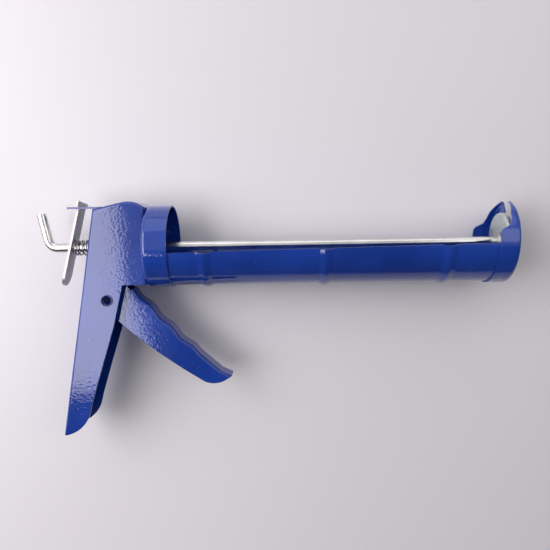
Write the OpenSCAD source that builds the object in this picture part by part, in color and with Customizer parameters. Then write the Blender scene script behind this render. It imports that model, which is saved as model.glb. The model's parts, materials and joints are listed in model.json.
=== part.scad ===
// Cradle caulking gun for 300 to 310 ml cartridges.
// The origin is on the push rod's axis, level with the rear cup's front rim.
// +X runs along the rod to the nose, +Z is up and the handle hangs towards -Z.

/* [Cradle] */
// Outside radius of the ribbed cradle trough
cradle_r = 26; // [25.5:0.1:26.5]
// Distance from the rear cup's rim to the nose cap's rear edge
cradle_l = 207; // [196:1:212]
// Height of the pressed ribs on the trough
rib_h = 1.2; // [0.6:0.1:1.6]

/* [Nose] */
// Width of the open slot between the horns
slot_w = 12; // [10:0.2:14]

/* [Rod] */
// Diameter of the smooth push rod
rod_d = 6.3; // [5.8:0.1:6.5]
// Diameter of the piston that pushes the cartridge's plunger
piston_d = 37.4; // [34:0.2:42]

/* [Handle] */
// Outside width of the folded handle frame
frame_w = 26; // [25:0.5:30]

/* [Trigger] */
// Outside width of the trigger channel
trigger_w = 14.8; // [14:0.2:17]
// Depth of the finger waves on the trigger's front edge
wave_h = 0.75; // [0.3:0.05:1.1]

/* [Hidden] */
$fn = 64;
eps = 0.01;
slip = 0.02;
run_fit = 0.08;
rod_r = rod_d / 2;

// Rear cup: a pressed cup with a rim that holds the cradle.
cup_t = 1;
cup_r = cradle_r + cup_t;
cup_depth = 16;
cup_bend = 2.5;
guide_r = rod_r + 0.35;

// Cradle trough.
sheet_t = 0.8;
cradle_x0 = cup_bend - cup_depth + slip;
nose_x0 = cradle_l;
edge_z0 = -2.8;
edge_slope = 0.9;
rib_w = 10;
rib_steps = 8;
rib_x = [22.8, cradle_l * 0.482, cradle_l - 30.4];
rib_dip = 1;

// Nose cap.
nose_wall = 11;
nose_lean = 0.04;
nose_depth = 16.6;
plate_r = 12;
neck_r = 11;
shoulder_z = 7.4;

// Piston and the fittings on the rod's front end.
piston_x = nose_x0 + 8;
piston_t = 1.2;
piston_rim = 3.5;
journal_r = 2.5;
washer_x = piston_x - 1.6;
washer_t = 1.3;
nut_t = 3;
nut_af = 8;
play = 0.3;

// Handle frame.
frame_t = 1.2;
frame_bend = 2.6;
fold_steps = 4;
roof_steps = 9;
half_w = frame_w / 2;
front_x = -cup_depth;
back_top = [-49.7, 25.4];
back_tip = [-76.1, -125.2];
back_lean = atan((back_top[0] - back_tip[0]) / (back_top[1] - back_tip[1]));
head_c = [-27, 13];
head_r = 17;
roof_slope = 12.72;
head_bottom = -24.2;
grip_front = [[-32, head_bottom], [-39, -52], [-48.2, -80], [-55.4, -102.6]];
butt_c = [-77.4, -104.4];
butt_r = 20.8;
reach = 200;

// Rear tab that carries the release plate.
tab_x0 = -66.2;
tab_w = 22;
tab_z = 25.55;
tab_l = 24.7;

// Trigger and its pivot.
pivot = [-42.6, -34.2];
pivot_r = 3;
trigger_t = 1.2;
trigger_half = trigger_w / 2;
wave_end = 64;
bush_r = pivot_r + 1.1;
trigger_l = 91;
trigger_top = [-29.2, -25.2];
trigger_dir = -43.1;
wave_pitch = 19.4;
wave_sag = 2.8;
arm_l = 26;
arm_r = 4;
arm_back = 12;
arm_c = [pivot[0] - arm_l * sin(arm_back), pivot[1] + arm_l * cos(arm_back)];
toe_c = [25.2, -76];
toe_r = 16;
trigger_tip = [37.3, -87.4];

// Drive plate and spring.
drive_t = 2;
drive_x = arm_c[0] + arm_r + play;
drive_half = half_w - frame_t - 0.8;
drive_spring_r = 5.6;
drive_wire = 0.6;

// Release plate and spring.
release_t = 1.6;
release_w = 13;
release_head_w = 20;
release_lean = 14.7;
release_pin = [-60.6, 26];
release_l = 53;
release_spring_r = 4.8;
release_wire = 0.5;
release_spring_x = -65.4;
release_spring_l = 9.9;

// Turns a shape drawn about +Z so that its axis is +X.
module along_x() {
    rotate([0, 90, 0]) children();
}

// Draws a side view (X across, Z up) and gives it width along Y.
module side(w) {
    rotate([90, 0, 0]) linear_extrude(height = w, center = true) children();
}

// Places something on the trigger's pivot line.
module at_pivot() {
    translate([pivot[0], 0, pivot[1]]) rotate([90, 0, 0]) children();
}

// Half h of the patch between points j and m of the ring that starts at point b and the next ring.
function strip_face(b, j, m, ring, h) = h == 0 ? [b + j, b + ring + j, b + ring + m] : [b + j, b + ring + m, b + m];

// ---- Handle frame ----

// Where the line through p along u meets the line through q along v.
function line_hit(p, u, q, v) = p + u * ((q[0] - p[0]) * v[1] - (q[1] - p[1]) * v[0]) / (u[0] * v[1] - u[1] * v[0]);

// Where the back line through p along u leaves the rounded butt of radius r.
function butt_hit(p, u, r) =
    let (d = butt_c - p, along = d * u, off = d - along * u) p + u * (along - sqrt(r * r - off * off));

function arc_points(c, r, a0, a1, steps) =
    [for (k = [0 : steps]) let (a = a0 + (a1 - a0) * k / steps) c + r * [cos(a), sin(a)]];

// The side outline with its folded edges moved in by i.
function frame_outline(i) =
    let (up = [sin(back_lean), cos(back_lean)],
         back = back_top + i * [cos(back_lean), -sin(back_lean)],
         roof = head_c + (head_r - i) * [-sin(roof_slope), cos(roof_slope)],
         nose_a = acos((front_x - i - head_c[0]) / (head_r - i)),
         tip = butt_hit(back, up, butt_r),
         tip_a = atan2(tip[1] - butt_c[1], tip[0] - butt_c[0]))
    concat([line_hit(back, up, roof, [cos(roof_slope), sin(roof_slope)])],
           arc_points(head_c, head_r - i, 90 + roof_slope, nose_a, roof_steps),
           [[front_x - i, head_bottom]],
           grip_front,
           arc_points(butt_c, butt_r, -15, tip_a, 9));

// The points of one side of the folded sheet: a ring of the outline at each step round both bends.
function fold_points(i, r) = [for (s = [-1, 1], k = [0 : fold_steps])
    let (a = 90 * (s < 0 ? k : fold_steps - k) / fold_steps, y = s * (half_w - i - r * (1 - cos(a))))
    each [for (q = frame_outline(i + r * (1 - sin(a)))) [q[0], y, q[1]]]];

// A four-cornered patch as two triangles.
function patch(a, b, c, d) = [[a, b, c], [a, c, d]];

// The folded sheet: outer and inner skins joined along the cut edges.
module folded_sheet() {
    n = len(frame_outline(0));
    rings = 2 * fold_steps + 2;
    in = rings * n;
    top = (rings - 1) * n;
    turn = roof_steps + 2;
    folds = concat([n - 1], [for (j = [0 : turn]) j]);
    skins = [for (k = [0 : rings - 2], f = [0 : len(folds) - 2]) let (b = k * n, j = folds[f], m = folds[f + 1])
        each concat(patch(b + j, b + n + j, b + n + m, b + m),
                    patch(in + b + m, in + b + n + m, in + b + n + j, in + b + j))];
    cuts = [for (j = [turn : n - 2]) each concat(patch(j + 1, j, in + j, in + j + 1),
                                                 patch(top + j, top + j + 1, in + top + j + 1, in + top + j))];
    ends = [for (k = [0 : rings - 2]) let (b = k * n, e = b + n - 1, t = b + turn)
        each concat(patch(t, t + n, in + t + n, in + t), patch(e + n, e, in + e, in + e + n))];
    caps = [for (j = [1 : n - 2]) each [[0, j, j + 1], [top, top + j + 1, top + j],
                                        [in, in + j + 1, in + j], [in + top, in + top + j, in + top + j + 1]]];
    polyhedron(points = concat(fold_points(0, frame_bend), fold_points(frame_t, frame_bend - frame_t)),
               faces = concat(skins, cuts, ends, caps));
}

// The bent-back tab with the slot that the release plate hangs in.
module rear_tab() {
    difference() {
        translate([tab_x0, -tab_w / 2, tab_z]) cube([tab_l, tab_w, frame_t]);
        translate([release_pin[0] - 2.3, -release_w / 2 - 0.6, tab_z - 1]) cube([4.6, release_w + 1.2, 4]);
    }
}

module handle_frame() {
    color([0.08, 0.2, 0.62])
    difference() {
        union() {
            folded_sheet();
            rear_tab();
        }
        translate([-reach, 0, 0]) along_x() cylinder(r = guide_r + 0.5, h = reach - 40);
        translate([-40, 0, 0]) along_x() cylinder(r = guide_r, h = 40);
        at_pivot() cylinder(r = pivot_r + slip, h = frame_w + 2, center = true);
        for (z = [-1, 1]) translate([front_x - 3, 0, z * 14]) along_x() cylinder(r = 2, h = 4);
    }
}

// ---- Rear cup ----

// Half section of a pressed cup of outer radius r, with bend radius b.
module cup_section(r, depth, b) {
    square([r - b, depth]);
    translate([0, b]) square([r, depth - b]);
    translate([r - b, b]) circle(r = b);
}

module rear_cup() {
    color([0.08, 0.2, 0.62])
    difference() {
        translate([-cup_depth, 0, 0]) along_x() rotate_extrude() difference() {
            intersection() {
                cup_section(cup_r, cup_depth, cup_bend);
                square([2 * cup_r, cup_depth]);
            }
            translate([-eps, cup_t]) intersection() {
                cup_section(cradle_r + slip + eps, cup_depth, cup_bend - cup_t);
                square([2 * cup_r, 2 * cup_depth]);
            }
        }
        translate([-cup_depth - 1, 0, 0]) along_x() cylinder(r = guide_r, h = 4);
        for (z = [-1, 1]) translate([-cup_depth - 1, 0, z * 14]) along_x() cylinder(r = 2, h = 4);
    }
}

module cup_rivets() {
    color([0.7, 0.7, 0.72])
    for (z = [-1, 1]) translate([front_x - frame_t - 1, 0, z * 14]) along_x() {
        cylinder(r = 3.4, h = 1 - slip);
        cylinder(r = 2 - slip, h = frame_t + cup_t + 2);
        translate([0, 0, frame_t + cup_t + 1 + slip]) cylinder(r1 = 3.4, r2 = 2.6, h = 1);
    }
}

// ---- Cradle ----

// How far the trough wall stands out at x.
function rib(x) = max([for (c = rib_x) abs(x - c) < rib_w / 2 ? rib_h * (1 + cos(360 * (x - c) / rib_w)) / 2 : 0]);

function rib_points() = [for (c = rib_x, k = [0 : rib_steps]) c + rib_w * (k / rib_steps - 0.5)];

module cradle() {
    xs = concat([cradle_x0], rib_points(), [nose_x0 + nose_wall - 2]);
    outer = [for (x = xs) [cradle_r + rib(x), x]];
    inner = [for (k = [len(xs) - 1 : -1 : 0]) [cradle_r - sheet_t + rib(xs[k]), xs[k]]];
    dip_r = rib_w * rib_w / (8 * rib_dip) + rib_dip / 2;
    color([0.08, 0.2, 0.62])
    difference() {
        along_x() rotate_extrude() polygon(concat(outer, inner));
        translate([0, 0, edge_z0]) rotate([0, -edge_slope, 0])
            translate([-30, -cup_r - 5, 0]) cube([270, 2 * cup_r + 10, 60]);
        for (c = rib_x) translate([c, 0, edge_z0 + c * tan(edge_slope) + dip_r - rib_dip])
            rotate([90, 0, 0]) cylinder(r = dip_r, h = 2 * cup_r + 10, center = true);
    }
}

// ---- Nose cap ----

// Half section of the nose: a wall, a rounded edge and a front plate that rises to a flat middle.
module nose_section(i) {
    edge = [[cup_r, nose_wall], [cup_r - 0.4, nose_wall + 1], [cup_r - 1, nose_wall + 1.6],
            [cup_r - 2, nose_wall + 2], [plate_r, nose_depth]];
    inward = [[1, 0.19], [0.85, 0.56], [0.56, 0.85], [0.3, 0.96], [0.11, 1]];
    polygon(concat([[0, 0], [cup_r - i, 0]], [for (k = [0 : 4]) edge[k] - i * inward[k]], [[0, nose_depth - i]]));
}

// What is cut from the wall above the shoulders, leaving two horns.
module horn_cut() {
    translate([nose_x0, shoulder_z])
        polygon([[-5, 0], [0.3, 0], [1.3, 1.5], [4.6, 3.2], [6, 4.1], [7.4, 7.2], [8.1, 11.9],
                 [9.5, 15.1], [10.6, 17.5], [11.2, 19], [11.2, 30], [-5, 30]]);
}

// The cap leans forward at the top: each point moves along X with its height.
module nose_cap() {
    color([0.08, 0.2, 0.62])
    multmatrix([[1, 0, nose_lean, 0], [0, 1, 0, 0], [0, 0, 1, 0]])
    difference() {
        translate([nose_x0, 0, 0]) along_x() rotate_extrude() difference() {
            nose_section(0);
            translate([-eps, -eps]) nose_section(cup_t - slip);
        }
        side(3 * cup_r) horn_cut();
        translate([nose_x0 + 5, 0, 0]) along_x() cylinder(r = neck_r, h = 20);
        translate([nose_x0 + 5, -slot_w / 2, 0]) cube([20, slot_w, 40]);
    }
}

// ---- Rod and piston ----

hook_bend = 6.2;
hook_turn = 78;
hook_x = -82.7;
hook_l = 22.9;
hook_tan = hook_bend * tan(hook_turn / 2);
lap = 0.3;

module push_rod() {
    color([0.75, 0.75, 0.78]) {
        translate([hook_x + hook_tan - lap, 0, 0]) along_x() cylinder(r = rod_r, h = washer_x - hook_x - hook_tan + lap);
        translate([hook_x, 0, 0]) along_x() translate([0, 0, washer_x - hook_x - eps])
            cylinder(r = journal_r, h = piston_x + piston_t + play + nut_t - washer_x + 0.8);
        translate([hook_x + hook_tan, 0, hook_bend]) rotate([90, 0, 0]) rotate([0, 0, 270 - hook_turn])
            rotate_extrude(angle = hook_turn) translate([hook_bend, 0]) circle(r = rod_r + slip);
        translate([hook_x, 0, 0]) rotate([0, hook_turn - 90, 0]) translate([0, 0, hook_tan - lap])
            cylinder(r = rod_r, h = hook_l - hook_tan + lap);
    }
}

module piston() {
    color([0.72, 0.76, 0.74])
    difference() {
        translate([piston_x, 0, 0]) along_x() rotate_extrude() difference() {
            cup_section(piston_d / 2, piston_rim, 1.6);
            translate([-eps, piston_t]) cup_section(piston_d / 2 - piston_t, piston_rim, 0.4);
        }
        translate([piston_x - 1, 0, 0]) along_x() cylinder(r = journal_r + run_fit, h = 4);
    }
}

module piston_washer() {
    color([0.6, 0.6, 0.62])
    translate([washer_x, 0, 0]) along_x() difference() {
        cylinder(r = 6.5, h = washer_t);
        translate([0, 0, -1]) cylinder(r = journal_r + slip, h = washer_t + 2);
    }
}

module piston_nut() {
    color([0.6, 0.6, 0.62])
    translate([piston_x + piston_t + play, 0, 0]) along_x() difference() {
        cylinder(r = nut_af / 2 / cos(30), h = nut_t, $fn = 6);
        translate([0, 0, -1]) cylinder(r = journal_r + slip, h = nut_t + 2);
    }
}

// ---- Trigger ----

// A point u mm along the trigger's wavy front, set back by d. The waves end before the toe.
function front_point(u, d = 0) =
    let (wave = u < wave_end ? cos(360 * (u - 0.5) / wave_pitch) : cos(360 * (wave_end - 0.5) / wave_pitch),
         n = wave_h * wave - wave_sag * sin(180 * u / 115) - d)
    [trigger_top[0] + u * cos(trigger_dir) - n * sin(trigger_dir),
     trigger_top[1] + u * sin(trigger_dir) + n * cos(trigger_dir)];

// One side cheek: finger edge, rounded toe, bowed rear edge and the arm above the pivot.
module cheek() {
    front = [for (u = [0 : 3 : trigger_l - 7]) front_point(u)];
    toe = concat([trigger_tip], arc_points(toe_c, toe_r, -56, -112, 8));
    rear = [[3.6, -80.9], [-12.7, -69.4], [-27.6, -57.4], [-39.2, -47]];
    heel = arc_points(pivot, 11.5, -85, -150, 5);
    arm = arc_points(arm_c, arm_r, 195, 20, 8);
    polygon(concat(front, toe, rear, heel, arm, [[arm_c[0] + arm_r - 0.2, -14.2], [-33, -20.5]]));
}

module trigger() {
    color([0.08, 0.2, 0.62])
    difference() {
        union() {
            for (s = [-1, 1]) translate([0, s * (trigger_half - trigger_t / 2), 0]) side(trigger_t) cheek();
            side(2 * trigger_half - 1) polygon(concat([for (u = [3 : 3 : trigger_l - 7]) front_point(u)], [trigger_tip],
                [trigger_tip - [1.4, 1]], [for (u = [trigger_l - 7 : -3 : 3]) front_point(u, trigger_t)]));
        }
        at_pivot() cylinder(r = bush_r + run_fit, h = frame_w + 2, center = true);
    }
}

module pivot_rivet() {
    color([0.12, 0.16, 0.35])
    at_pivot() difference() {
        union() {
            cylinder(r = pivot_r, h = frame_w + 2 * slip, center = true);
            for (s = [-1, 1]) translate([0, 0, s * (half_w + 0.35 + slip)])
                cylinder(r = pivot_r + 0.9, h = 0.7, center = true);
        }
        cylinder(r = pivot_r - 1, h = frame_w + 6, center = true);
        for (s = [0, 180]) rotate([s, 0, 0]) translate([0, 0, half_w - 0.9])
            cylinder(r1 = pivot_r - 1, r2 = pivot_r + 0.5, h = 1.7);
    }
}

// Two shouldered bushes on the rivet: the trigger turns on them, and their shoulders keep it in the middle.
module pivot_bushes() {
    color([0.62, 0.62, 0.64])
    at_pivot() for (s = [0, 180]) rotate([s, 0, 0]) difference() {
        union() {
            translate([0, 0, trigger_half - trigger_t - 1]) cylinder(r = bush_r, h = trigger_t + 2);
            translate([0, 0, trigger_half + play])
                cylinder(r = bush_r + 1.6, h = half_w - frame_t - slip - trigger_half - play);
        }
        cylinder(r = pivot_r + slip, h = frame_w);
    }
}

// ---- Drive plate and springs ----

// A point at angle q round the wire, at angle a and fraction t along the coil.
function coil_point(r, w, l, a, t, q) =
    [(r + w * cos(q)) * cos(a), (r + w * cos(q)) * sin(a),
     w + (l - 2 * w) * (t - sin(360 * t) / 126) + w * sin(q)];

// A round wire of radius w wound on radius r, from z = 0 to z = l, with closer end turns.
module coil(r, w, l, turns) {
    steps = 20;
    ring = 8;
    n = turns * steps;
    points = [for (k = [0 : n], j = [0 : ring - 1]) coil_point(r, w, l, 360 * k / steps, k / n, 360 * j / ring)];
    skin = [for (k = [0 : n - 1], j = [0 : ring - 1], h = [0, 1]) strip_face(k * ring, j, (j + 1) % ring, ring, h)];
    caps = [[for (j = [0 : ring - 1]) j], [for (j = [ring - 1 : -1 : 0]) n * ring + j]];
    polyhedron(points = points, faces = concat(skin, caps));
}

module drive_plate() {
    color([0.5, 0.5, 0.52])
    difference() {
        translate([drive_x, -drive_half, -13]) cube([drive_t, 2 * drive_half, 26]);
        translate([drive_x - 1, 0, 0]) along_x() cylinder(r = guide_r, h = drive_t + 2);
    }
}

module drive_spring() {
    color([0.6, 0.6, 0.62])
    translate([drive_x + drive_t + play, 0, 0]) along_x()
        coil(drive_spring_r, drive_wire, front_x - frame_t - 1.1 - drive_x - drive_t - play, 6);
}

module spring_seat() {
    color([0.6, 0.6, 0.62])
    translate([front_x - frame_t - 1 - slip, 0, 0]) along_x() difference() {
        cylinder(r = 8, h = 1);
        translate([0, 0, -1]) cylinder(r = guide_r, h = 3);
    }
}

// ---- Release plate ----

module release_plate() {
    color([0.62, 0.62, 0.62])
    translate([release_pin[0], 0, release_pin[1]]) rotate([0, release_lean, 0])
    difference() {
        translate([-release_t / 2, 0, 0]) rotate([90, 0, 90]) linear_extrude(height = release_t) {
            translate([-release_w / 2, -release_l + release_w / 2]) square([release_w, release_l - release_w / 2 + 3]);
            translate([0, -release_l + release_w / 2]) circle(r = release_w / 2);
            polygon([[-release_head_w / 2, 1.4], [release_head_w / 2, 1.4], [release_head_w / 2, 2.9],
                     [-release_head_w / 2, 5.2]]);
        }
        translate([-release_t, 0, -release_pin[1] / cos(release_lean) + 0.35]) along_x()
            cylinder(r = rod_r + 1.05, h = 2 * release_t);
    }
}

module release_spring() {
    color([0.6, 0.6, 0.62])
    translate([release_spring_x, 0, 0]) along_x() coil(release_spring_r, release_wire, release_spring_l, 5);
}

handle_frame();
rear_cup();
cup_rivets();
cradle();
nose_cap();
push_rod();
piston();
piston_washer();
piston_nut();
trigger();
pivot_rivet();
pivot_bushes();
drive_plate();
drive_spring();
spring_seat();
release_plate();
release_spring();
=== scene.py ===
import json
import math

import bmesh
import bpy
from mathutils import Matrix, Vector
from mathutils.geometry import tessellate_polygon


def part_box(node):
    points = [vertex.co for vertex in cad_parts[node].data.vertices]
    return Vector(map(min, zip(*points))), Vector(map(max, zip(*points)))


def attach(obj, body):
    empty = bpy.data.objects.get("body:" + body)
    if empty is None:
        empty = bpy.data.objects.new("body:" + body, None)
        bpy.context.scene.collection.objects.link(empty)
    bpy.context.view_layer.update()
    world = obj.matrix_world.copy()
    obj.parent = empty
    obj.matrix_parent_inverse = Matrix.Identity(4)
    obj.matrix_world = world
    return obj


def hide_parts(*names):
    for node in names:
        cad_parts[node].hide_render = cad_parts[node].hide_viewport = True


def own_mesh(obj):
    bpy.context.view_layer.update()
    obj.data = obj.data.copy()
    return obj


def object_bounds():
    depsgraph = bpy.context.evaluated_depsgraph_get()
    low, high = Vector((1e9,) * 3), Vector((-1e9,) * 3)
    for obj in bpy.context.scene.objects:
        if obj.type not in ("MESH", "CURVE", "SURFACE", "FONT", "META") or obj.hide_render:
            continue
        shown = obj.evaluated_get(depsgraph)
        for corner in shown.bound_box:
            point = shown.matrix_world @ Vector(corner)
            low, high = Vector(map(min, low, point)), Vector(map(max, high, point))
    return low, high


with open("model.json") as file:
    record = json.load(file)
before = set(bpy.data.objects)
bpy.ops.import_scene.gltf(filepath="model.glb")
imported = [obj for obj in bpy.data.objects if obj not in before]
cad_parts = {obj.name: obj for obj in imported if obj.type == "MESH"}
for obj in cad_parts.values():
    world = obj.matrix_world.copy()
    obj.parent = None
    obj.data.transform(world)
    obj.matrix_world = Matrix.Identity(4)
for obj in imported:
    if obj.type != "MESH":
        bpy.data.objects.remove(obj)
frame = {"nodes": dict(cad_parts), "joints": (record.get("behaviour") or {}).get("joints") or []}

CAD_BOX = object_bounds()
MM = 0.001
SCENE = bpy.context.scene


def joint_named(name):
    return next(j for j in frame["joints"] if j["name"] == name)


# ---- Shader helpers ----

class Shader:
    """A node tree with short calls for the nodes that the materials share."""

    def __init__(self, name):
        self.material = bpy.data.materials.new(name)
        self.material.use_nodes = True
        self.tree = self.material.node_tree
        self.tree.nodes.clear()
        self.out = self.node("ShaderNodeOutputMaterial")
        self.place = self.node("ShaderNodeTexCoord").outputs["Object"]

    def node(self, kind, **settings):
        made = self.tree.nodes.new(kind)
        for key, value in settings.items():
            setattr(made, key, value)
        return made

    def feed(self, socket, value):
        """Links a socket to another node's output, or sets it to a constant."""
        if isinstance(value, bpy.types.NodeSocket):
            self.tree.links.new(value, socket)
        elif isinstance(value, (tuple, list)) and len(value) == 3 and socket.type == "RGBA":
            socket.default_value = (*value, 1.0)
        else:
            socket.default_value = value

    def stretched(self, scale):
        """Object coordinates scaled along each axis, for drawn lines."""
        made = self.node("ShaderNodeMapping")
        self.feed(made.inputs["Vector"], self.place)
        made.inputs["Scale"].default_value = scale
        return made.outputs["Vector"]

    def noise(self, scale, detail=2.0, roughness=0.5, where=None, warp=0.0):
        made = self.node("ShaderNodeTexNoise")
        self.feed(made.inputs["Vector"], where or self.place)
        made.inputs["Scale"].default_value = scale
        made.inputs["Detail"].default_value = detail
        made.inputs["Roughness"].default_value = roughness
        made.inputs["Distortion"].default_value = warp
        return made.outputs["Fac"]

    def cells(self, scale, output="Distance"):
        made = self.node("ShaderNodeTexVoronoi")
        self.feed(made.inputs["Vector"], self.place)
        made.inputs["Scale"].default_value = scale
        return made.outputs[output]

    def spread(self, value, low, high, to_low=0.0, to_high=1.0):
        """Maps low..high of a value to to_low..to_high, clamped."""
        made = self.node("ShaderNodeMapRange")
        for key, part in zip(("Value", "From Min", "From Max", "To Min", "To Max"),
                             (value, low, high, to_low, to_high)):
            self.feed(made.inputs[key], part)
        return made.outputs["Result"]

    def maths(self, operation, a, b):
        made = self.node("ShaderNodeMath", operation=operation)
        self.feed(made.inputs[0], a)
        self.feed(made.inputs[1], b)
        return made.outputs[0]

    def blend(self, factor, a, b):
        """Mixes two colours."""
        made = self.node("ShaderNodeMix", data_type="RGBA")
        self.feed(made.inputs[0], factor)
        self.feed(made.inputs[6], a)
        self.feed(made.inputs[7], b)
        return made.outputs[2]

    def bump(self, height, distance, normal=None):
        made = self.node("ShaderNodeBump")
        self.feed(made.inputs["Height"], height)
        made.inputs["Distance"].default_value = distance
        if normal:
            self.feed(made.inputs["Normal"], normal)
        return made.outputs["Normal"]

    def soft_edges(self, radius):
        made = self.node("ShaderNodeBevel", samples=6)
        made.inputs["Radius"].default_value = radius
        return made.outputs["Normal"]

    def sharpness(self, radius):
        """1 beside a sharp edge and 0 on a flat or a wide bend."""
        made = self.node("ShaderNodeVectorMath", operation="DOT_PRODUCT")
        self.feed(made.inputs[0], self.soft_edges(radius))
        self.feed(made.inputs[1], self.node("ShaderNodeNewGeometry").outputs["Normal"])
        return self.spread(made.outputs["Value"], 0.985, 0.80)

    def principled(self, **sockets):
        made = self.node("ShaderNodeBsdfPrincipled")
        for key, value in sockets.items():
            self.feed(made.inputs[key.replace("_", " ")], value)
        self.tree.links.new(made.outputs["BSDF"], self.out.inputs["Surface"])
        return self.material


# ---- Materials ----

def blue_paint(name, deep, light, peel=1.0):
    """Glossy sprayed enamel: orange peel, sheet waves, uneven tone, painted shade along sharp edges and
    specks of dust.
    """
    s = Shader(name)
    tone = s.noise(16, 3, 0.55)
    fine = s.noise(240, 4, 0.6)
    colour = s.blend(s.spread(tone, 0.35, 0.65), deep, light)
    thin = s.spread(fine, 0.60, 0.75, 0.0, 0.22)
    colour = s.blend(thin, colour, [min(1.0, 1.5 * c) for c in light])
    near = s.spread(s.cells(330), 0.05, 0.11, 1.0, 0.0)
    chosen = s.spread(s.noise(75, 2, 0.5), 0.60, 0.66)
    speck = s.maths("MULTIPLY", near, chosen)
    colour = s.blend(s.maths("MULTIPLY", speck, 0.55), colour, (0.55, 0.6, 0.72))
    rough = s.spread(s.noise(60, 3, 0.6), 0.3, 0.7, 0.07, 0.13)
    rough = s.maths("ADD", rough, s.maths("MULTIPLY", speck, 0.35))
    # Painted shade: the colour turns darker along sharp edges, which are also made rougher.
    edge = s.sharpness(0.45 * MM)
    colour = s.blend(s.maths("MULTIPLY", edge, 0.75), colour, [0.3 * c for c in deep])
    rough = s.maths("ADD", rough, s.maths("MULTIPLY", edge, 0.35))
    wave = s.bump(s.noise(34, 1, 0.4), 9e-5, s.soft_edges(0.35 * MM))
    peeled = s.bump(s.noise(640, 1.2, 0.45, warp=0.3), 4.6e-5 * peel, wave)
    return s.principled(Base_Color=colour, Roughness=rough, IOR=1.5, Normal=peeled,
                        Coat_Weight=0.5, Coat_Roughness=0.04, Coat_IOR=1.5, Coat_Normal=peeled)


def drawn_metal(name, dark, light, rough, grain, depth=6e-6, spots=0.25):
    """Plated or rolled metal with lines along one axis, cloudy tone and small marks."""
    s = Shader(name)
    lines = s.noise(1.0, 3, 0.6, where=s.stretched(grain))
    cloud = s.noise(45, 4, 0.6)
    colour = s.blend(s.spread(s.maths("ADD", lines, cloud), 0.75, 1.25), dark, light)
    marks = s.spread(s.noise(420, 3, 0.65), 0.63, 0.72)
    colour = s.blend(s.maths("MULTIPLY", marks, spots), colour, [0.35 * c for c in dark])
    roughness = s.spread(s.maths("ADD", cloud, lines), 0.7, 1.3, rough[0], rough[1])
    normal = s.bump(lines, depth, s.soft_edges(0.2 * MM))
    normal = s.bump(cloud, 3e-5, normal)
    return s.principled(Base_Color=colour, Metallic=1.0, Roughness=roughness, Normal=normal)


def galvanised(name):
    """Hot-dip sheet with faint spangle, dull patches and scuffs."""
    s = Shader(name)
    spangle = s.node("ShaderNodeSeparateColor")
    s.feed(spangle.inputs[0], s.cells(210, "Color"))
    grain = spangle.outputs[0]
    cloud = s.noise(90, 4, 0.6)
    colour = s.blend(s.spread(grain, 0.0, 1.0, 0.2, 0.8), (0.50, 0.54, 0.52), (0.66, 0.70, 0.67))
    scuff = s.spread(s.noise(1.0, 4, 0.7, where=s.stretched((300, 120, 900))), 0.60, 0.68)
    colour = s.blend(s.maths("MULTIPLY", scuff, 0.5), colour, (0.30, 0.32, 0.31))
    rough = s.maths("ADD", s.spread(cloud, 0.3, 0.7, 0.36, 0.52), s.maths("MULTIPLY", grain, 0.06))
    normal = s.bump(cloud, 5e-5, s.soft_edges(0.25 * MM))
    normal = s.bump(grain, 4e-6, normal)
    return s.principled(Base_Color=colour, Metallic=1.0, Roughness=rough, Normal=normal)


PAINT = blue_paint("blue_paint", (0.004, 0.028, 0.215), (0.008, 0.044, 0.300))
# The pivot rivet has the frame's blue paint; this darker copy of it is painted shade for the rivet's
# sunken head.
SHADED_RIVET_PAINT = blue_paint("shaded_rivet_paint", (0.004, 0.016, 0.10), (0.008, 0.026, 0.15), peel=0.5)
BRIGHT_ZINC = drawn_metal("bright_zinc", (0.62, 0.62, 0.60), (0.86, 0.86, 0.84),
                          rough=(0.14, 0.26), grain=(9, 900, 900))
PLATE_STEEL = drawn_metal("plate_steel", (0.42, 0.41, 0.40), (0.60, 0.59, 0.57),
                          rough=(0.42, 0.56), grain=(700, 500, 22), depth=1.2e-5, spots=0.5)
SMALL_ZINC = drawn_metal("small_zinc", (0.52, 0.52, 0.50), (0.74, 0.74, 0.71),
                         rough=(0.24, 0.38), grain=(300, 300, 300))
SPRING_STEEL = drawn_metal("spring_steel", (0.30, 0.29, 0.28), (0.52, 0.51, 0.49),
                           rough=(0.20, 0.32), grain=(260, 260, 260))
GALVANISED = galvanised("galvanised_sheet")

FINISH = {
    "handle_frame": PAINT,
    "rear_cup": PAINT,
    "cradle": PAINT,
    "nose_cap": PAINT,
    "trigger": PAINT,
    "pivot_rivet": SHADED_RIVET_PAINT,
    "cup_rivets": SMALL_ZINC,
    "push_rod": BRIGHT_ZINC,
    "piston": GALVANISED,
    "piston_washer": SMALL_ZINC,
    "piston_nut": SMALL_ZINC,
    "pivot_bushes": SMALL_ZINC,
    "drive_plate": PLATE_STEEL,
    "spring_seat": SMALL_ZINC,
    "release_plate": PLATE_STEEL,
    "drive_spring": SPRING_STEEL,
    "release_spring": SPRING_STEEL,
}


def finish_mesh(obj, material, smooth_deg=32, weighted=True):
    """Gives a mesh its material, smooth bends and crisp edges without moving a vertex."""
    mesh = obj.data
    mesh.materials.clear()
    mesh.materials.append(material)
    weld = obj.modifiers.new("weld", "WELD")
    weld.merge_threshold = 1e-6
    if "custom_normal" in mesh.attributes:
        mesh.attributes.remove(mesh.attributes["custom_normal"])
    mesh.shade_smooth()
    split = obj.modifiers.new("crisp", "EDGE_SPLIT")
    split.split_angle = math.radians(smooth_deg)
    split.use_edge_sharp = False
    if weighted:
        normals = obj.modifiers.new("even", "WEIGHTED_NORMAL")
        normals.mode = "FACE_AREA"
        normals.weight = 90
        normals.keep_sharp = True


for node_name, material in FINISH.items():
    finish_mesh(frame["nodes"][node_name], material)


# ---- Mesh helpers ----

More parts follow.
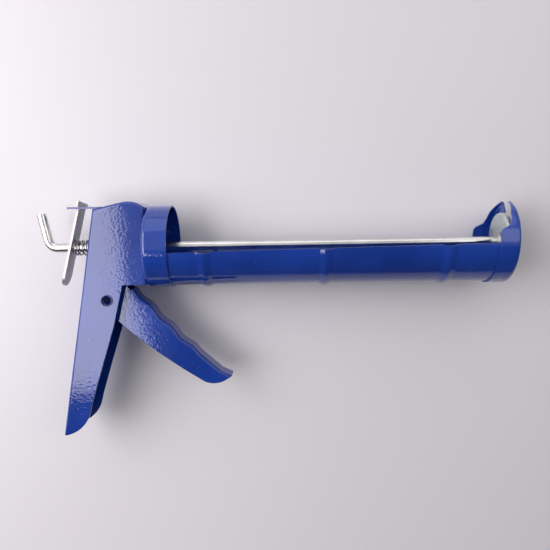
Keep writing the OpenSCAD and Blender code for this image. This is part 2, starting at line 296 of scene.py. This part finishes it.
def mesh_object(name, points, faces):
    mesh = bpy.data.meshes.new(name)
    mesh.from_pydata([tuple(p) for p in points], [], [tuple(f) for f in faces])
    obj = bpy.data.objects.new(name, mesh)
    SCENE.collection.objects.link(obj)
    work = bmesh.new()
    work.from_mesh(mesh)
    loose = [v for v in work.verts if not v.link_faces]
    bmesh.ops.delete(work, geom=loose, context="VERTS")
    bmesh.ops.recalc_face_normals(work, faces=work.faces)
    work.to_mesh(mesh)
    work.free()
    return obj


def arc(centre, radius, start, end, steps):
    angles = [math.radians(start + (end - start) * k / steps) for k in range(steps + 1)]
    return [(centre[0] + radius * math.cos(a), centre[1] + radius * math.sin(a)) for a in angles]


# ---- Trigger: one pressed channel with rounded folds and a wavy finger edge ----
# Lengths are in millimetres and outline points are (x, z), turned into metres when the mesh is made.

TRIGGER_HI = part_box("trigger")[1]
TRIGGER_HALF = TRIGGER_HI.y / MM
TRIGGER_T = 1.2
TRIGGER_BEND = 2.0
FOLD_STEPS = 8
FOLD_FROM = 4
HOLE_STEPS = 48

PIVOT = [v / MM for v in joint_named("trigger_pull")["pos_m"]]
PIVOT_HOLE = 4.18

WAVE_TOP = (-29.2, -25.2)
WAVE_DIR = math.radians(-43.1)
WAVE_LENGTH = 84.0
WAVE_PITCH = 19.4
WAVE_START = 0.5
WAVE_HEIGHT = 0.75
WAVE_END = 64.0
SAG = 2.8
SAG_SPAN = 115.0
WAVE_STEPS = 112

TIP = (TRIGGER_HI.x / MM, -87.4)
TOE = (25.2, -76)
TOE_R = 16
REAR_EDGE = [(3.6, -80.9), (-12.7, -69.4), (-27.6, -57.4), (-39.2, -47)]
HEEL_R = 11.5
ARM_LENGTH = 26.0
ARM_LEAN = math.radians(12)
ARM_R = 4.0
ARM_TOP = (PIVOT[0] - ARM_LENGTH * math.sin(ARM_LEAN), PIVOT[2] + ARM_LENGTH * math.cos(ARM_LEAN))
NECK = [(ARM_TOP[0] + 3.8, -14.2), (-33, -20.5)]


def wave_point(u, back):
    """A point of the finger edge, u along it from the top and set back into the sheet."""
    n = (WAVE_HEIGHT * math.cos(2 * math.pi * (min(u, WAVE_END) - WAVE_START) / WAVE_PITCH)
         - SAG * math.sin(math.pi * u / SAG_SPAN) - back)
    return (WAVE_TOP[0] + u * math.cos(WAVE_DIR) - n * math.sin(WAVE_DIR),
            WAVE_TOP[1] + u * math.sin(WAVE_DIR) + n * math.cos(WAVE_DIR))


def trigger_outline(back):
    """The cheek's outline with its finger edge set back."""
    front = [wave_point(WAVE_LENGTH * k / WAVE_STEPS, back) for k in range(WAVE_STEPS + 1)]
    tip = [(TIP[0] - 0.9 * back, TIP[1] - 0.5 * back)]
    toe = arc(TOE, TOE_R, -56, -112, 14)
    heel = arc((PIVOT[0], PIVOT[2]), HEEL_R, -85, -150, 10)
    arm = arc(ARM_TOP, ARM_R, 195, 20, 16)
    return front + tip + toe + REAR_EDGE + heel + arm + NECK


def folded_channel(name, outline, folds, half, thick, bend, hole):
    """A sheet folded into a channel: two cheeks joined by a web along part of their outline.

    outline(back) gives the cheek's loop with its folded edge set back, folds the first and last
    point of that edge, and hole the x, z and radius of a round hole through both cheeks.
    """
    count = len(outline(0))
    points, faces = [], []
    skins = []
    for inset in (0.0, thick):
        rings = []
        for side in (-1, 1):
            for k in range(FOLD_STEPS + 1):
                step = k if side < 0 else FOLD_STEPS - k
                a = math.pi / 2 * step / FOLD_STEPS
                r = bend - inset
                y = side * (half - inset - r * (1 - math.cos(a)))
                flat = outline(inset + r * (1 - math.sin(a)))
                rings.append(range(len(points), len(points) + count))
                points += [(x * MM, y * MM, z * MM) for x, z in flat]
        skins.append(rings)
    for rings in skins:
        for near, far in zip(rings, rings[1:]):
            faces += [(near[j], far[j], far[j + 1], near[j + 1]) for j in range(folds[0], folds[1])]
    for k in range(len(skins[0]) - 1):
        for j in folds:
            faces.append((skins[0][k][j], skins[0][k + 1][j], skins[1][k + 1][j], skins[1][k][j]))
    cuts = [j for j in range(count) if not folds[0] <= j < folds[1]]
    for end in (0, -1):
        for j in cuts:
            m = (j + 1) % count
            faces.append((skins[0][end][j], skins[0][end][m], skins[1][end][m], skins[1][end][j]))
    ring_hole = []
    hole_points = arc(hole[:2], hole[2], 0, 360, HOLE_STEPS)[:-1]
    for rings in skins:
        for end in (0, -1):
            ring = rings[end]
            y = points[ring[0]][1]
            start = len(points)
            points += [(x * MM, y, z * MM) for x, z in hole_points]
            around = list(range(start, start + len(hole_points)))
            loops = [[Vector((points[i][0], points[i][2], 0)) for i in ring],
                     [Vector((points[i][0], points[i][2], 0)) for i in around]]
            index = list(ring) + around
            faces += [tuple(index[i] for i in tri) for tri in tessellate_polygon(loops)]
            ring_hole.append(around)
    for outer, inner in ((ring_hole[0], ring_hole[2]), (ring_hole[1], ring_hole[3])):
        n = len(outer)
        faces += [(outer[j], outer[(j + 1) % n], inner[(j + 1) % n], inner[j]) for j in range(n)]
    return mesh_object(name, points, faces)


trigger = folded_channel("trigger_pressing", trigger_outline, (FOLD_FROM, WAVE_STEPS + 1), TRIGGER_HALF,
                         TRIGGER_T, TRIGGER_BEND, (PIVOT[0], PIVOT[2], PIVOT_HOLE))
finish_mesh(trigger, PAINT)
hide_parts("trigger")
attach(trigger, "trigger")


# ---- Springs ----

TURN_STEPS = 44
WIRE_SIDES = 12
END_CLOSING = 1 / 7.0


def coil(name, node, wire, turns):
    """A round wire wound along X in a node's box, its end turns closed up, carried by the frame."""
    low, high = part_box(node)
    radius = (high.y - low.y) / 2 - wire
    length = high.x - low.x - 2 * wire
    steps, ring = TURN_STEPS * turns, WIRE_SIDES
    points, faces = [], []
    for k in range(steps + 1):
        t = k / steps
        a = 2 * math.pi * turns * t
        along = low.x + wire + length * (t - END_CLOSING * math.sin(2 * math.pi * t))
        for j in range(ring):
            q = 2 * math.pi * j / ring
            r = radius + wire * math.cos(q)
            points.append((along + wire * math.sin(q), r * math.sin(a), -r * math.cos(a)))
    for k in range(steps):
        for j in range(ring):
            m = (j + 1) % ring
            faces.append((k * ring + j, k * ring + m, (k + 1) * ring + m, (k + 1) * ring + j))
    faces.append(tuple(range(ring)))
    faces.append(tuple(steps * ring + j for j in reversed(range(ring))))
    made = mesh_object(name, points, faces)
    finish_mesh(made, SPRING_STEEL, smooth_deg=50, weighted=False)
    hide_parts(node)
    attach(made, "frame")
    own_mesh(made)
    return made


coil("drive_coil", "drive_spring", wire=0.6 * MM, turns=6)
coil("release_coil", "release_spring", wire=0.5 * MM, turns=5)


# ---- Camera ----

VIEW_FROM = (0.07242, -0.37835, 0.02115)
VIEW_TURN = (-0.1092, 0.0162, 0.0121)
turn = (Matrix.Rotation(VIEW_TURN[2], 3, "Z") @ Matrix.Rotation(VIEW_TURN[1], 3, "Y")
        @ Matrix.Rotation(VIEW_TURN[0], 3, "X"))
right, ahead, up = turn.col[0], turn.col[1], turn.col[2]
camera_data = bpy.data.cameras.new("camera")
camera_data.sensor_width = 36
camera_data.lens = 37.23
camera_data.clip_start = 0.02
camera = bpy.data.objects.new("camera", camera_data)
SCENE.collection.objects.link(camera)
facing = Matrix((right, up, -ahead)).transposed().to_4x4()
camera.matrix_world = Matrix.Translation(VIEW_FROM) @ facing
SCENE.camera = camera


# ---- Stage and light ----

def stage_material(name, colour, rough, one_sided, bounce=1.0):
    """Pale matt surface, darker to reflections and bounced light where bounce is under 1.

    A one-sided sheet lets light through and isn't seen from behind.
    """
    s = Shader(name)
    drift = s.noise(3.0, 3, 0.5)
    shade = s.blend(s.spread(drift, 0.3, 0.7), colour, [0.97 * c for c in colour])
    direct = s.node("ShaderNodeLightPath").outputs["Is Camera Ray"]
    shade = s.blend(direct, [bounce * c for c in colour], shade)
    made = s.principled(Base_Color=shade, Roughness=rough, Specular_IOR_Level=0.3,
                        Normal=s.bump(s.noise(700, 2, 0.5), 4e-6))
    if one_sided:
        light, side = s.node("ShaderNodeLightPath"), s.node("ShaderNodeNewGeometry")
        hidden = s.maths("MAXIMUM", light.outputs["Is Shadow Ray"], side.outputs["Backfacing"])
        mix, clear = s.node("ShaderNodeMixShader"), s.node("ShaderNodeBsdfTransparent")
        solid = s.out.inputs["Surface"].links[0].from_socket
        s.feed(mix.inputs[0], hidden)
        s.tree.links.new(solid, mix.inputs[1])
        s.tree.links.new(clear.outputs[0], mix.inputs[2])
        s.tree.links.new(mix.outputs[0], s.out.inputs["Surface"])
    return made


def panel(name, corners, material):
    mesh = bpy.data.meshes.new(name)
    mesh.from_pydata(corners, [], [tuple(range(len(corners)))])
    mesh.materials.append(material)
    obj = bpy.data.objects.new(name, mesh)
    SCENE.collection.objects.link(obj)
    return obj


TABLE_Y = CAD_BOX[1].y + 0.0004
TABLE_X, TABLE_Z = 2.2, 1.9
FLOOR_HALF = 4
FLOOR_Z = -0.9
CARD_Y = -0.8


def glow(name, colour, strength):
    """An evenly lit card."""
    s = Shader(name)
    light = s.node("ShaderNodeEmission")
    s.feed(light.inputs["Color"], colour)
    s.feed(light.inputs["Strength"], strength)
    s.tree.links.new(light.outputs[0], s.out.inputs["Surface"])
    return s.material


panel("table", [(x, TABLE_Y, z) for x, z in ((-TABLE_X, -TABLE_Z), (TABLE_X, -TABLE_Z),
                                             (TABLE_X, TABLE_Z), (-TABLE_X, TABLE_Z))],
      stage_material("table_top", (0.68, 0.66, 0.68), 0.42, True))
panel("floor", [(x, y, FLOOR_Z) for x, y in ((-FLOOR_HALF, -FLOOR_HALF), (FLOOR_HALF, -FLOOR_HALF),
                                             (FLOOR_HALF, FLOOR_HALF), (-FLOOR_HALF, FLOOR_HALF))],
      stage_material("floor_paint", (0.74, 0.72, 0.74), 0.6, False, bounce=0.1))

# Two cards behind the camera, which the paint mirrors. The window's stepped right edge is what
# ends its reflection on the head, the rear cup and the handle.
WINDOW = [(-1.5, -0.34), (-1.5, 0.95), (-0.60, 0.95), (-0.268, 0.052), (-0.258, -0.06), (-0.252, -0.12),
          (-0.231, -0.155), (-0.233, -0.185), (-0.216, -0.243), (-0.20, -0.34)]
FAR_WALL = [(0.42, 0.02), (1.3, 0.02), (1.3, 0.6), (0.42, 0.6)]
panel("window", [(x, CARD_Y, z) for x, z in WINDOW], glow("window_glow", (1.0, 0.965, 1.0), 5.0))
panel("far_wall", [(x, CARD_Y, z) for x, z in FAR_WALL], glow("far_wall_glow", (1.0, 0.98, 0.97), 1.6))


def softbox(name, where, aim, size, power):
    data = bpy.data.lights.new(name, "AREA")
    data.shape = "RECTANGLE"
    data.size, data.size_y = size
    data.energy = power
    obj = bpy.data.objects.new(name, data)
    SCENE.collection.objects.link(obj)
    obj.location = where
    obj.rotation_euler = (Vector(aim) - Vector(where)).to_track_quat("-Z", "Y").to_euler()


softbox("ceiling", where=(0.1, -0.45, 1.0), aim=(0.1, 0, 0), size=(1.2, 0.8), power=2.0)
softbox("rear_left", where=(-0.7, 1.0, 0.6), aim=(0, 0, 0), size=(0.8, 0.8), power=2.0)
softbox("rear_right", where=(0.9, 1.0, 0.4), aim=(0.05, 0, 0), size=(0.8, 0.8), power=1.2)


# ---- World: a soft room, darker low down and to the right ----

world = bpy.data.worlds.new("studio")
SCENE.world = world
world.use_nodes = True
sky = world.node_tree
background = sky.nodes["Background"]


def sky_node(kind, inputs, **settings):
    made = sky.nodes.new(kind)
    for key, value in settings.items():
        setattr(made, key, value)
    for key, value in inputs.items():
        if isinstance(value, bpy.types.NodeSocket):
            sky.links.new(value, made.inputs[key])
        else:
            made.inputs[key].default_value = value
    return made


heading = sky_node("ShaderNodeSeparateXYZ", {0: sky.nodes.new("ShaderNodeTexCoord").outputs["Generated"]})
height = sky_node("ShaderNodeMapRange", {
    "Value": heading.outputs["Z"], "From Min": -0.22, "From Max": -0.07, "To Min": 0.08, "To Max": 0.66})
across = sky_node("ShaderNodeMapRange", {
    "Value": heading.outputs["X"], "From Min": -1.0, "From Max": 1.0, "To Min": 1.15, "To Max": 0.60})
room = sky_node("ShaderNodeMath", {0: height.outputs["Result"], 1: across.outputs["Result"]},
                operation="MULTIPLY")
seen = sky.nodes.new("ShaderNodeLightPath")
level = sky_node("ShaderNodeMapRange", {
    "Value": seen.outputs["Is Camera Ray"], "To Min": room.outputs[0], "To Max": 0.80})
sky.links.new(level.outputs["Result"], background.inputs["Strength"])
background.inputs["Color"].default_value = (0.97, 0.96, 1.0, 1.0)
SCENE.view_settings.view_transform = "Standard"
